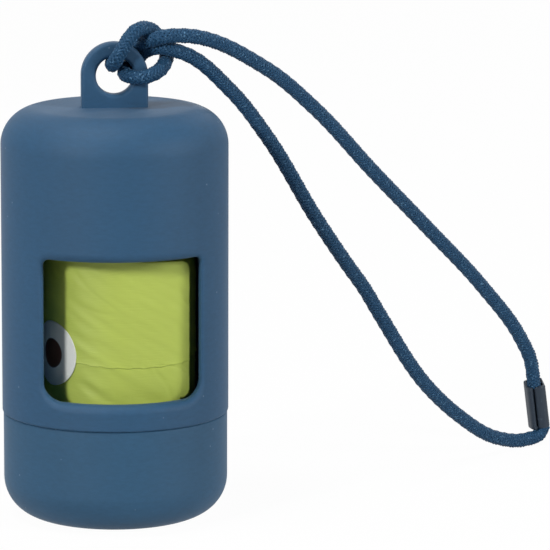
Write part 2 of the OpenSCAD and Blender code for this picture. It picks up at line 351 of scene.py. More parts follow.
def moulded_plastic(name, colour):
    """Injection-moulded polypropylene with a spark-eroded matt face: a soft, low gloss with a very fine
    grain, and a pale bloom where it is seen at a glance."""
    made, tree, out = new_material(name)
    at = add(tree, "ShaderNodeTexCoord").outputs["Object"]
    # Grain of about 0.25 mm, a little coarser than the real one so that it still shows
    grain = add(tree, "ShaderNodeTexNoise", {"Scale": 4000.0, "Detail": 3.0}, Vector=at)
    # Slow cloudiness of about 12 mm in the moulded colour
    cloud = add(tree, "ShaderNodeTexNoise", {"Scale": 80.0, "Detail": 4.0}, Vector=at)
    shade = add(tree, "ShaderNodeMix",
                {"data_type": "RGBA", "A": scaled(colour, 0.93), "B": scaled(colour, 1.07)},
                Factor=cloud.outputs["Fac"])
    # Fine mottle of about 1 mm, stretched into faint draw lines round the walls
    stretched = add(tree, "ShaderNodeMapping", {"Scale": (1.0, 1.0, 3.0)}, Vector=at)
    mottle = add(tree, "ShaderNodeTexNoise", {"Scale": 700.0, "Detail": 4.0, "Roughness": 0.65},
                 Vector=stretched.outputs["Vector"])
    tone = add(tree, "ShaderNodeMapRange",
               {"From Min": 0.3, "From Max": 0.7, "To Min": 0.92, "To Max": 1.08},
               Value=mottle.outputs["Fac"])
    toned = add(tree, "ShaderNodeVectorMath", {"operation": "SCALE"},
                Vector=shade.outputs["Result"], Scale=tone.outputs["Result"])
    # Sparse pale dust, one speck in each 4 mm or so
    dust = add(tree, "ShaderNodeTexVoronoi", {"Scale": 260.0}, Vector=at)
    speck = add(tree, "ShaderNodeMapRange",
                {"From Min": 0.025, "From Max": 0.05, "To Min": 0.35, "To Max": 0.0},
                Value=dust.outputs["Distance"])
    dusty = add(tree, "ShaderNodeMix", {"data_type": "RGBA", "B": (*srgb("#9fb3c2"), 1)},
                Factor=speck.outputs["Result"], A=toned.outputs["Vector"])
    bump = add(tree, "ShaderNodeBump", {"Strength": 0.25, "Distance": 0.00004}, Height=grain.outputs["Fac"])
    rough = add(tree, "ShaderNodeMapRange", {"To Min": 0.6, "To Max": 0.72}, Value=grain.outputs["Fac"])
    skin = add(tree, "ShaderNodeBsdfPrincipled",
               {"IOR": 1.49, "Specular IOR Level": 0.5, "Sheen Weight": 0.2, "Sheen Roughness": 0.25,
                "Sheen Tint": (*srgb("#cfd6da"), 1)},
               Base_Color=dusty.outputs["Result"], Roughness=rough.outputs["Result"],
               Normal=bump.outputs["Normal"])
    tree.links.new(out.inputs["Surface"], skin.outputs["BSDF"])
    return made


def thin_film(name, colour):
    """Blown polyethylene film wound in layers: soft waxy gloss, light that sinks in, and fine draw lines
    across the roll."""
    made, tree, out = new_material(name)
    at = add(tree, "ShaderNodeTexCoord").outputs["Object"]
    # Draw lines every 0.8 mm or so, long round the roll and short along it
    lines = add(tree, "ShaderNodeMapping", {"Scale": (1.0, 1.0, 6.0)}, Vector=at)
    drawn = add(tree, "ShaderNodeTexNoise", {"Scale": 220.0, "Detail": 5.0, "Distortion": 1.5},
                Vector=lines.outputs["Vector"])
    patch = add(tree, "ShaderNodeTexNoise", {"Scale": 160.0, "Detail": 4.0}, Vector=at)
    shade = add(tree, "ShaderNodeMix",
                {"data_type": "RGBA", "A": scaled(colour, 0.95), "B": scaled(colour, 1.05)},
                Factor=patch.outputs["Fac"])
    bump = add(tree, "ShaderNodeBump", {"Strength": 0.4, "Distance": 0.00012}, Height=drawn.outputs["Fac"])
    skin = add(tree, "ShaderNodeBsdfPrincipled",
               {"IOR": 1.5, "Roughness": 0.5, "Subsurface Weight": 0.1,
                "Subsurface Radius": (0.0006, 0.0006, 0.0002), "Subsurface Scale": 1.0},
               Base_Color=shade.outputs["Result"], Normal=bump.outputs["Normal"])
    tree.links.new(out.inputs["Surface"], skin.outputs["BSDF"])
    return made


def label_paper(name, dot):
    """Coated label paper with one plain printed dot, set off by distance from the label's middle."""
    made, tree, out = new_material(name)
    disc = add(tree, "ShaderNodeAttribute", {"attribute_name": "from_middle"})
    edge = add(tree, "ShaderNodeMapRange", {"From Min": 2.5, "From Max": 2.7}, Value=disc.outputs["Fac"])
    ink = add(tree, "ShaderNodeMix",
              {"data_type": "RGBA", "A": (*dot, 1), "B": (*srgb("#eceee8"), 1)},
              Factor=edge.outputs["Result"])
    at = add(tree, "ShaderNodeTexCoord").outputs["Object"]
    # Paper fibres of about 0.3 mm
    fibre = add(tree, "ShaderNodeTexNoise", {"Scale": 3000.0, "Detail": 3.0}, Vector=at)
    bump = add(tree, "ShaderNodeBump", {"Strength": 0.15, "Distance": 0.00003}, Height=fibre.outputs["Fac"])
    skin = add(tree, "ShaderNodeBsdfPrincipled", {"IOR": 1.48, "Roughness": 0.5},
               Base_Color=ink.outputs["Result"], Normal=bump.outputs["Normal"])
    tree.links.new(out.inputs["Surface"], skin.outputs["BSDF"])
    return made


def core_board(name):
    """Spiral-wound grey board: matt and fibrous."""
    made, tree, out = new_material(name)
    at = add(tree, "ShaderNodeTexCoord").outputs["Object"]
    fibre = add(tree, "ShaderNodeTexNoise", {"Scale": 900.0, "Detail": 6.0}, Vector=at)
    shade = add(tree, "ShaderNodeMix",
                {"data_type": "RGBA", "A": (*srgb("#a58a64"), 1), "B": (*srgb("#c9b18a"), 1)},
                Factor=fibre.outputs["Fac"])
    bump = add(tree, "ShaderNodeBump", {"Strength": 0.4, "Distance": 0.0001}, Height=fibre.outputs["Fac"])
    skin = add(tree, "ShaderNodeBsdfPrincipled", {"Roughness": 0.9, "IOR": 1.4},
               Base_Color=shade.outputs["Result"], Normal=bump.outputs["Normal"])
    tree.links.new(out.inputs["Surface"], skin.outputs["BSDF"])
    return made


def braided_yarn(name, colour):
    """Texturised polyester yarn braided over elastic: dark blue with broken pale glints along it, painted
    into its colour as painted highlights.
    """
    made, tree, out = new_material(name)
    at = add(tree, "ShaderNodeTexCoord").outputs["Object"]
    # Painted glints of about 0.3 mm: pale highlights painted into the yarn's colour where single filaments
    # would catch the light
    painted_glint_noise = add(tree, "ShaderNodeTexNoise", {"Scale": 2600.0, "Detail": 2.0}, Vector=at)
    painted_glint_mask = add(tree, "ShaderNodeMapRange", {"From Min": 0.56, "From Max": 0.78},
                Value=painted_glint_noise.outputs["Fac"])
    # The pale colour B is a painted highlight on the dark blue yarn
    shade = add(tree, "ShaderNodeMix",
                {"data_type": "RGBA", "A": (*colour, 1), "B": (*srgb("#628eb0"), 1)},
                Factor=painted_glint_mask.outputs["Result"])
    fibre = add(tree, "ShaderNodeTexNoise", {"Scale": 7000.0, "Detail": 2.0}, Vector=at)
    bump = add(tree, "ShaderNodeBump", {"Strength": 0.5, "Distance": 0.00008}, Height=fibre.outputs["Fac"])
    skin = add(tree, "ShaderNodeBsdfPrincipled",
               {"Roughness": 0.65, "IOR": 1.5, "Specular IOR Level": 0.3,
                "Sheen Weight": 0.06, "Sheen Roughness": 0.35},
               Base_Color=shade.outputs["Result"], Normal=bump.outputs["Normal"])
    tree.links.new(out.inputs["Surface"], skin.outputs["BSDF"])
    return made


def lacquered_metal(name):
    """Pressed steel sleeve under dark slate lacquer: half gloss, worn paler where the tool closed it."""
    made, tree, out = new_material(name)
    at = add(tree, "ShaderNodeTexCoord").outputs["Object"]
    wear = add(tree, "ShaderNodeTexNoise", {"Scale": 900.0, "Detail": 5.0}, Vector=at)
    worn = add(tree, "ShaderNodeMapRange", {"From Min": 0.62, "From Max": 0.75}, Value=wear.outputs["Fac"])
    shade = add(tree, "ShaderNodeMix",
                {"data_type": "RGBA", "A": (*srgb("#2c3845"), 1), "B": (*srgb("#4d5c6c"), 1)},
                Factor=worn.outputs["Result"])
    bump = add(tree, "ShaderNodeBump", {"Strength": 0.2, "Distance": 0.0001}, Height=wear.outputs["Fac"])
    skin = add(tree, "ShaderNodeBsdfPrincipled",
               {"Metallic": 0.2, "Roughness": 0.5, "Specular IOR Level": 0.4},
               Base_Color=shade.outputs["Result"], Normal=bump.outputs["Normal"])
    tree.links.new(out.inputs["Surface"], skin.outputs["BSDF"])
    return made


# The housing


def window_side(start, end, r_start, r_end, along, out, steps):
    """Points and normals of one side of the window, from the middle of one corner to that of the next.

    start and end are the corners' centres. By length along the side it is an eighth turn of the first
    corner, a straight stretch and an eighth turn of the second corner.
    """
    first, last = start + r_start * out, end + r_end * out
    straight = np.linalg.norm(last - first)
    bend_a, bend_b = r_start * math.pi / 4, r_end * math.pi / 4
    s = np.linspace(0, bend_a + straight + bend_b, steps + 1)[:-1, None]
    turn_a = math.pi / 4 - np.minimum(s, bend_a) / r_start
    turn_b = np.maximum(s - bend_a - straight, 0) / r_end
    normal = np.where(s < bend_a, out * np.cos(turn_a) - along * np.sin(turn_a),
                      out * np.cos(turn_b) + along * np.sin(turn_b))
    on_line = first + along * np.clip(s - bend_a, 0, straight)
    point = np.where(s < bend_a, start + r_start * normal,
                     np.where(s > bend_a + straight, end + r_end * normal, on_line))
    return point, normal


def window_outline(across, upright):
    """The window's outline at its jambs as points and outward normals, counterclockwise from lower left."""
    half, top = WINDOW_W / 2, SILL_Z + WINDOW_H
    centres = [
        np.array([-half + SILL_R, SILL_Z + SILL_R]), np.array([half - SILL_R, SILL_Z + SILL_R]),
        np.array([half - LINTEL_R, top - LINTEL_R]), np.array([-half + LINTEL_R, top - LINTEL_R]),
    ]
    radii = [SILL_R, SILL_R, LINTEL_R, LINTEL_R]
    ways = [np.array([1, 0]), np.array([0, 1]), np.array([-1, 0]), np.array([0, -1])]
    outs = [np.array([0, -1]), np.array([1, 0]), np.array([0, 1]), np.array([-1, 0])]
    counts = [across, upright, across, upright]
    sides = []
    for k in range(4):
        after = (k + 1) % 4
        sides.append(window_side(centres[k], centres[after], radii[k], radii[after],
                                 ways[k], outs[k], counts[k]))
    return np.vstack([s[0] for s in sides]), np.vstack([s[1] for s in sides])


def on_cylinder(angle, z, radius):
    """A point of a cylinder at an angle from its front: x = r sin a, y = -r cos a."""
    return np.stack([radius * np.sin(angle), -radius * np.cos(angle), z + 0 * angle], axis=-1)


def housing_surface(lip):
    """The housing as one closed wall with its window.

    Round the window the wall is a ring of points for each step from the inside of the bore, over the
    straight jamb and the rolled lip, and out over the front; each ring blends from the window's rounded
    outline to a plain rectangle of angle and height, which the turned walls round it share.
    """
    across, upright, behind = 96, 72, 96
    reach = math.radians(85)
    low, high = RIM_Z + SEAM_R, 57.0
    outline, normal = window_outline(across, upright)
    turn = np.linspace(-reach, reach, across + 1)
    rise = np.linspace(low, high, upright + 1)
    border = np.vstack([
        np.stack([turn[:-1], 0 * turn[:-1] + low], axis=1),
        np.stack([0 * rise[:-1] + reach, rise[:-1]], axis=1),
        np.stack([turn[:0:-1], 0 * turn[:-1] + high], axis=1),
        np.stack([0 * rise[:-1] - reach, rise[:0:-1]], axis=1),
    ])

    def front(points, radius):
        return -np.sqrt(np.maximum(radius**2 - points[:, 0] ** 2, 0))

    def spread(points, radius, t):
        angle = np.arcsin(points[:, 0] / radius)
        blend_a = angle * (1 - t) + border[:, 0] * t
        blend_z = points[:, 1] * (1 - t) + border[:, 1] * t
        return on_cylinder(blend_a, blend_z, radius)

    def jamb(depth_y, grow=0.0):
        p = outline + normal * grow
        return np.stack([p[:, 0], depth_y, p[:, 1]], axis=1)

    even = np.linspace(0, 1, 25)
    rings = [spread(outline, BORE_R, t) for t in even[::-1] ** 1.4]
    back, edge = front(outline, BORE_R), front(outline, BODY_R) + lip
    rings += [jamb(back * (1 - t) + edge * t) for t in (0.04, 0.1, 0.5, 0.95)]
    for a in np.radians(np.linspace(0, 90, 15)):
        p = outline + normal * lip * (1 - math.cos(a))
        rings.append(np.stack([p[:, 0], front(p, BODY_R) + lip * (1 - math.sin(a)), p[:, 1]], axis=1))
    rim = outline + normal * lip
    rings += [spread(rim, BODY_R, t) for t in even[1:] ** 1.4]
    window = (np.vstack(rings), grid_quads(len(rings), len(outline), close_cols=True))

    around = np.concatenate([turn, np.linspace(reach, TAU - reach, behind + 1)[1:-1]])
    back_turn = np.linspace(reach, TAU - reach, behind + 1)

    def wall(profile, angles, closed):
        p = np.asarray(profile)
        grid = on_cylinder(angles[None, :] + 0 * p[:, :1], p[:, 1:], p[:, :1])
        return grid.reshape(-1, 3), grid_quads(len(p), len(angles), close_cols=closed)

    straight_out = np.stack([0 * rise + BODY_R, rise], axis=1)
    straight_in = np.stack([0 * rise + BORE_R, rise], axis=1)[::-1]
    crown_in = CROWN_R - WALL
    over_top = np.vstack([
        line(BODY_R, high, BODY_R, TOP_Z - CROWN_R, 6),
        arc(BODY_R - CROWN_R, TOP_Z - CROWN_R, CROWN_R, 0, 90, 24)[1:],
        line(BODY_R - CROWN_R, TOP_Z, 0, TOP_Z, 10)[1:],
    ])
    under_roof = np.vstack([
        line(0, ROOF_Z, BORE_R - crown_in, ROOF_Z, 8),
        arc(BORE_R - crown_in, ROOF_Z - crown_in, crown_in, 90, 0, 12)[1:],
        line(BORE_R, ROOF_Z - crown_in, BORE_R, high, 6)[1:],
    ])
    under_rim = np.vstack([
        line(BORE_R, low, BORE_R, RIM_Z, 2),
        line(BORE_R, RIM_Z, BODY_R - SEAM_R, RIM_Z, 3)[1:],
        arc(BODY_R - SEAM_R, RIM_Z + SEAM_R, SEAM_R, -90, 0, 6)[1:],
    ])
    return joined([
        window,
        wall(straight_out, back_turn, False),
        wall(straight_in, back_turn, False),
        wall(over_top, around, True),
        wall(under_roof, around, True),
        wall(under_rim, around, True),
    ])


def eyelet_surface():
    """The eyelet plate: for each direction from the hole, a profile that runs through the hole, over its
    rounded mouth, across the face, over the rounded outer edge and back along the other face."""
    a = np.arange(144)[:, None] * TAU / 144
    down = np.minimum(EYELET_R / np.maximum(np.abs(np.cos(a)), 1e-6),
                      (EYELET_Z - TOP_Z + WALL / 2) / np.maximum(-np.sin(a), 1e-6))
    reach = np.where(np.sin(a) >= 0, EYELET_R, down)
    t = EYELET_HALF_T
    mouth = arc(HOLE_LIP, t - HOLE_LIP, HOLE_LIP, 180, 90, 8)
    edge = arc(-EYELET_EDGE, t - EYELET_EDGE, EYELET_EDGE, 90, 0, 6)
    inner = np.vstack([[[0, 0]], mouth])
    outer = np.vstack([edge, [[0, 0]]])
    share = np.linspace(0, 1, 8)[None, 1:-1]
    near = HOLE_R + inner[None, :, 0] + 0 * a
    far = reach + outer[None, :, 0]
    face = near[:, -1:] * (1 - share) + far[:, :1] * share
    rho = np.hstack([near, face, far])
    y = np.concatenate([inner[:, 1], np.full(share.size, t), outer[:, 1]])
    rho = np.hstack([rho, rho[:, -2:0:-1]])
    y = np.concatenate([y, -y[-2:0:-1]])[None, :]
    grid = np.stack([rho * np.cos(a), y + 0 * rho, EYELET_Z + rho * np.sin(a)], axis=2)
    return grid.reshape(-1, 3), grid_quads(len(a), rho.shape[1], close_rows=True, close_cols=True)


def cap_profile():
    """Outline of the base cap from the middle of its underside round to the top of its boss."""
    inside = NECK_R - NECK_WALL
    foot_in = FOOT_R - WALL
    floor = WALL
    pitch = (NECK_TOP - SEAM_Z) / (RIB_COUNT + 0.5)
    ribs = []
    for i in range(RIB_COUNT):
        z = SEAM_Z + (i + 1) * pitch
        ribs += [[NECK_R, z - RIB_H / 2 - 0.1], [NECK_R + RIB_OUT * 0.7, z - RIB_H / 2],
                 [NECK_R + RIB_OUT, z - RIB_H / 4], [NECK_R + RIB_OUT, z + RIB_H / 4],
                 [NECK_R + RIB_OUT * 0.7, z + RIB_H / 2], [NECK_R, z + RIB_H / 2 + 0.1]]
    return np.vstack([
        line(0, 0, CAP_R - FOOT_R, 0, 8),
        arc(CAP_R - FOOT_R, FOOT_R, FOOT_R, -90, 0, 24)[1:],
        line(CAP_R, FOOT_R, CAP_R, SEAM_Z - SEAM_R, 6)[1:],
        arc(CAP_R - SEAM_R, SEAM_Z - SEAM_R, SEAM_R, 0, 90, 6)[1:],
        line(CAP_R - SEAM_R, SEAM_Z, NECK_R, SEAM_Z, 3)[1:],
        np.array(ribs),
        arc(NECK_R - NECK_EDGE, NECK_TOP - NECK_EDGE, NECK_EDGE, 0, 90, 4),
        arc(inside + NECK_EDGE, NECK_TOP - NECK_EDGE, NECK_EDGE, 90, 180, 4),
        line(inside, NECK_TOP - NECK_EDGE - 0.1, inside, floor + foot_in, 6),
        arc(inside - foot_in, floor + foot_in, foot_in, 0, -90, 12)[1:],
        line(inside - foot_in, floor, BOSS_R + BOSS_FOOT, floor, 4)[1:],
        arc(BOSS_R + BOSS_FOOT, floor + BOSS_FOOT, BOSS_FOOT, -90, -180, 3)[1:],
        line(BOSS_R, floor + BOSS_FOOT + 0.1, BOSS_R, floor + BOSS_H - BOSS_EDGE, 3),
        arc(BOSS_R - BOSS_EDGE, floor + BOSS_H - BOSS_EDGE, BOSS_EDGE, 0, 90, 4)[1:],
        line(BOSS_R - BOSS_EDGE, floor + BOSS_H, 0, floor + BOSS_H, 3)[1:],
    ])


# The roll


def smooth_noise(u, v, seed, count=28):
    """Soft unevenness from -1 to 1: a sum of sine waves of seeded directions, lengths and phases."""
    rng = np.random.default_rng(seed)
    ku, kv = rng.normal(0, 1, count), rng.normal(0, 1, count)
    phase = rng.uniform(0, TAU, count)
    waves = np.sin(u[..., None] * ku + v[..., None] * kv + phase)
    return waves.sum(axis=-1) / math.sqrt(count)


def wound_surface():
    """The wound film: a turned ring whose two ends are grooved by the spiral of its layers."""
    a = np.arange(256) * TAU / 256
    z0, z1, r0, r1, edge = ROLL_LOW[2], ROLL_HIGH[2], CORE_R + 0.05, ROLL_R, 0.8
    end = np.linspace(r0, r1 - edge, 80)
    bottom = np.stack([end, 0 * end + z0], axis=1)
    top = bottom[::-1] * [1, 0] + [0, z1]
    profile = np.vstack([
        bottom,
        arc(r1 - edge, z0 + edge, edge, -90, 0, 6)[1:],
        line(r1, z0 + edge, r1, z1 - edge, 40)[1:],
        arc(r1 - edge, z1 - edge, edge, 0, 90, 6)[1:],
        top[1:],
    ])
    r, z = profile[:, :1], profile[:, 1:]
    # Layers of folded film, about 0.45 mm for each turn of a gathered bag
    layer_t = 0.45
    groove = 0.12 * np.abs(np.sin(math.pi * (r / layer_t - a / TAU)))
    groove = groove + 0.1 * smooth_noise(r * 2.2, 3 * np.sin(a) + 0 * r, 5)
    inward = np.where(z < z0 + 0.01, 1.0, np.where(z > z1 - 0.01, -1.0, 0.0))
    fade = np.clip((r - r0) / 0.5, 0, 1) * np.clip((r1 - edge - r) / 0.3 + 1, 0, 1)
    height = z + inward * fade * np.maximum(groove, 0)
    grid = np.stack([r * np.sin(a), -r * np.cos(a), height], axis=2)
    return grid.reshape(-1, 3), grid_quads(len(profile), len(a), close_rows=True, close_cols=True)


def slab(outer, inner):
    """A closed sheet between two grids of points of the same shape."""
    rows, cols = outer.shape[:2]
    n = rows * cols
    front = grid_quads(rows, cols)
    index = np.arange(n).reshape(rows, cols)
    loop = np.concatenate([index[0, :], index[1:, -1], index[-1, -2::-1], index[-2:0:-1, 0]])
    after = np.roll(loop, -1)
    side = np.stack([loop, loop + n, after + n, after], axis=1)
    points = np.vstack([outer.reshape(-1, 3), inner.reshape(-1, 3)])
    return points, np.vstack([front, front[:, ::-1] + n, side])


def outer_bag_surface(crease):
    """The outer bag: a sheet that lies nearly once round the roll and leaves it straight ahead as a flap.

    Its plan is an arc up to the leaving point and the arc's tangent after it. Its height narrows there to
    the free flap. It is lifted above the fold, along the fold's wavy line, and dented by slanting creases.
    """
    inner_r = BAG_R - FILM_T - 0.12
    leave = FLAP_ANGLE
    arc_l = inner_r * math.radians(330)
    flap_l = (FLAP_X - inner_r * math.sin(leave)) / math.cos(leave) - 0.05
    # Columns lie closest by the leaving point, which the window shows, and widest at the sheet's start
    s = np.concatenate([-arc_l * np.linspace(1, 0, 185) ** 1.5, np.linspace(0, flap_l, 70)[1:]])
    s = s[:, None]
    turn = leave + np.minimum(s, 0) / inner_r
    ahead = np.maximum(s, 0)
    low, high = BAG_LOW[2], BAG_HIGH[2]
    # The flap stays whole below until it would meet the cup, and is torn away above
    cut = np.clip((s - 7.6) / 1.0, 0, 1)
    torn = np.clip((s + 1) / 3, 0, 1)
    torn = torn * torn * (3 - 2 * torn)
    corner = 1.5
    round_off = corner - np.sqrt(np.maximum(corner**2 - np.clip(s - flap_l + corner, 0, corner) ** 2, 0))
    bottom = low + (FLAP_LOW - low) * cut + round_off
    top = high + (FLAP_HIGH - high) * torn - round_off
    # The fold sags in the middle of the window and climbs to both sides, with a fine waver
    fold = FOLD_Z - 0.15 + 0.0125 * np.clip(s - 2.5, -12, 9) ** 2 * np.where(s < 2.5, 0.45, 1.25)
    fold = fold + 0.07 * np.sin(s * 2.1) + 0.04 * np.sin(s * 4.7 + 1)
    # Rows follow the fold: closest beside it, and wider towards both ends, which the window hides
    z = np.hstack([
        bottom + (fold - 0.4 - bottom) * (1 - np.linspace(1, 0, 36)[:-1] ** 1.6),
        fold + np.linspace(-0.4, 0.8, 36)[:-1],
        fold + 0.8 + (top - fold - 0.8) * np.linspace(0, 1, 105) ** 1.3,
    ])
    above = np.clip((z - fold) / 0.1 + 0.5, 0, 1)
    # The perforation stands open in two short slits
    slits = np.exp(-((s - 1.8) / 0.7) ** 2) + np.exp(-((s - 5.6) / 0.6) ** 2)
    # Creases run down to the right: slow along that line (down) and quick across it (over)
    down, over = s * 0.87 - z * 0.5, s * 0.5 + z * 0.87
    slant = smooth_noise(down * 0.16, over * 0.55, 11)
    fine = smooth_noise(down * 0.3 + over * 0.1, over * 1.4, 23)
    ridge = np.abs(smooth_noise(down * 0.12, over * 0.4 - down * 0.05, 31))
    dent = crease * (0.6 * slant + 0.4 * fine - 0.7 * np.exp(-(ridge / 0.08) ** 2))
    ridge_h = 0.1 + 0.1 * slits
    lift = FILM_T + 0.14 * above + dent * 0.5 + ridge_h * above * np.exp(-np.maximum(z - fold, 0) / 0.4)
    ends = np.clip((z - bottom) / 0.6, 0, 1) * np.clip((top - z) / 0.6, 0, 1)
    bulge = 0.35 * ends * np.clip(ahead / flap_l, 0, 1) * np.sin(z * 0.24 + 0.4)

    # The sheet's start lies slack for a sixth of a turn, from where the flap covers it
    slack = np.sin(np.clip((s + arc_l) / (inner_r * math.radians(95)), 0, 1) * math.pi) ** 2

    def at(height):
        r = inner_r + height + 1.1 * slack
        x = r * np.sin(turn) + ahead * math.cos(leave)
        y = -r * np.cos(turn) + ahead * math.sin(leave)
        return np.stack([x, y + bulge * 0.4, z], axis=2)

    return slab(at(lift), at(lift * 0 + 0.02 + dent * 0.2))


def label_surface():
    """The label: a disc bent round the roll, from its middle out and round its edge, a tenth thick."""
    rings, around, bevel = 24, 96, 0.05
    face = np.linspace(0, LABEL_R - bevel, rings)
    rho = np.concatenate([face, [LABEL_R, LABEL_R, LABEL_R - bevel]])[:, None]
    lift = np.concatenate([np.full(rings, 0.2), [0.16, 0.04, 0.0]])[:, None]
    a = np.arange(around)[None, :] * TAU / around
    wide, z = rho * np.cos(a), LABEL_Z + rho * np.sin(a)
    r = BAG_R + lift + 0.06 * np.sin(wide * 0.9 + 1) * (rho / LABEL_R) ** 2
    angle = LABEL_TURN + wide / BAG_R
    grid = np.stack([r * np.sin(angle), -r * np.cos(angle), z], axis=2)
    return grid.reshape(-1, 3), grid_quads(len(rho), around, close_cols=True)


# The cord and its ferrule


def ferrule_point(across, out, up):
    """A point given in the ferrule's own frame, leaned about its front axis and turned to its heading."""
    across, out, up = np.broadcast_arrays(across, out, up)
    c, s = math.cos(FERRULE_LEAN), math.sin(FERRULE_LEAN)
    x, z = across * c + up * s, up * c - across * s
    ch, sh = math.cos(FERRULE_HEADING), math.sin(FERRULE_HEADING)
    return FERRULE_AT + np.stack([x * ch - out * sh, x * sh + out * ch, z], axis=-1)


def cord_line(step=0.25):
    """The cord's middle line at even steps, with the length along it.

    Between two route points it is a cubic whose end directions are those of the neighbouring spans,
    the nearer one counting more; it is then evened out over half a millimetre.
    """
    bore, mouth = LOBE_PITCH / 2, FERRULE_L - BACK_RISE
    p = np.vstack([
        ferrule_point(-bore, 0.0, mouth - CRIMP_DEPTH), ferrule_point(-bore + 0.6, 0.0, mouth),
        CORD_ROUTE,
        ferrule_point(bore, 0.0, 0.0), ferrule_point(bore, 0.0, CRIMP_DEPTH),
    ])
    span = np.diff(p, axis=0)
    length = np.linalg.norm(span, axis=1)
    unit = span / length[:, None]
    inner = unit[:-1] * length[1:, None] + unit[1:] * length[:-1, None]
    heading = np.vstack([unit[:1], inner / (length[:-1] + length[1:])[:, None], unit[-1:]])
    t = np.linspace(0, 1, 40, endpoint=False)[None, :, None]
    a, b, l = p[:-1, None], p[1:, None], length[:, None, None]
    fine = (a * (2 * t**3 - 3 * t**2 + 1) + b * (3 * t**2 - 2 * t**3)
            + heading[:-1, None] * l * (t**3 - 2 * t**2 + t) + heading[1:, None] * l * (t**3 - t**2))
    fine = np.vstack([fine.reshape(-1, 3), p[-1:]])
    for _ in range(2):
        along = np.concatenate([[0], np.cumsum(np.linalg.norm(np.diff(fine, axis=0), axis=1))])
        s = np.linspace(0, along[-1], int(along[-1] / step) + 1)
        fine = np.stack([np.interp(s, along, fine[:, k]) for k in range(3)], axis=1)
        soft = fine.copy()
        soft[2:-2] = (fine[:-4] + 2 * fine[1:-3] + 3 * fine[2:-2] + 2 * fine[3:-1] + fine[4:]) / 9
        fine = soft
    along = np.concatenate([[0], np.cumsum(np.linalg.norm(np.diff(fine, axis=0), axis=1))])
    return fine, along


def carried_frame(points):
    """Two directions square to a line at each point, carried along it without twist."""
    forward = np.gradient(points, axis=0)
    forward /= np.linalg.norm(forward, axis=1)[:, None]
    side = np.empty_like(points)
    n = np.cross(forward[0], [0.0, 0.0, 1.0])
    for i, f in enumerate(forward):
        n = n - f * (n @ f)
        n /= np.linalg.norm(n)
        side[i] = n
    return side, np.cross(forward, side)


def tube(centre, normal, binormal, r_normal, r_binormal, sides):
    """A closed tube of oval section round a line: the two radii lie along the two given directions."""
    a = np.arange(sides) * TAU / sides
    ring = (centre[:, None] + normal[:, None] * (r_normal * np.cos(a)[None, :])[..., None]
            + binormal[:, None] * (r_binormal * np.sin(a)[None, :])[..., None])
    ends = np.stack([np.broadcast_to(centre[:1], (sides, 3)), np.broadcast_to(centre[-1:], (sides, 3))])
    ring = np.concatenate([ends[:1], ring, ends[1:]])
    return ring.reshape(-1, 3), grid_quads(len(ring), sides, close_cols=True)


def braid_surface(strands, lay):
    """The braided cord: two families of strands wind opposite ways round a core.

    A strand's angle grows evenly along the cord. Its height swings as a sine so that it goes over two
    strands of the other family and under two. In the ferrule the whole braid is squeezed thin.
    """
    fine, along = cord_line()
    line_at, s = fine[::2], along[::2]
    side, up = carried_frame(line_at)
    cord_r, crimp_r, flare = CORD_D / 2, CRIMP_D / 2, 0.35
    inside = np.minimum(s, s[-1] - s)
    squeeze = np.clip((inside - CRIMP_DEPTH + flare) / flare, 0, 1)[:, None]
    radius = crimp_r + (cord_r - crimp_r) * squeeze
    yarn_t = 0.17 * radius / cord_r
    swing = 0.09 * radius / cord_r
    middle_r = radius + 0.01 * squeeze - yarn_t * 0.5
    # A strand is a little wider than its share of the girth, so that no gap shows between two
    width = 0.5 * TAU * (cord_r - 0.28) / strands * math.cos(math.atan(TAU * 0.95 / lay)) * 1.12
    parts = []
    for family in (1, -1):
        for k in range(strands):
            angle = (family * TAU * s / lay + TAU * k / strands)[:, None]
            wave = math.pi * strands * s / lay
            over = np.sin(wave + math.pi * k) if family > 0 else -np.sin(math.pi * k - wave)
            out = side * np.cos(angle) + up * np.sin(angle)
            centre = line_at + out * (middle_r + swing * over[:, None])
            run = np.gradient(centre, axis=0)
            run /= np.linalg.norm(run, axis=1)[:, None]
            flat = np.cross(run, out)
            flat /= np.linalg.norm(flat, axis=1)[:, None]
            parts.append(tube(centre, out, flat, yarn_t, width * (0.5 + 0.5 * squeeze), 6))
    parts.append(tube(line_at, side, up, middle_r - 0.02, middle_r - 0.02, 10))
    return joined(parts), fine, along[-1]


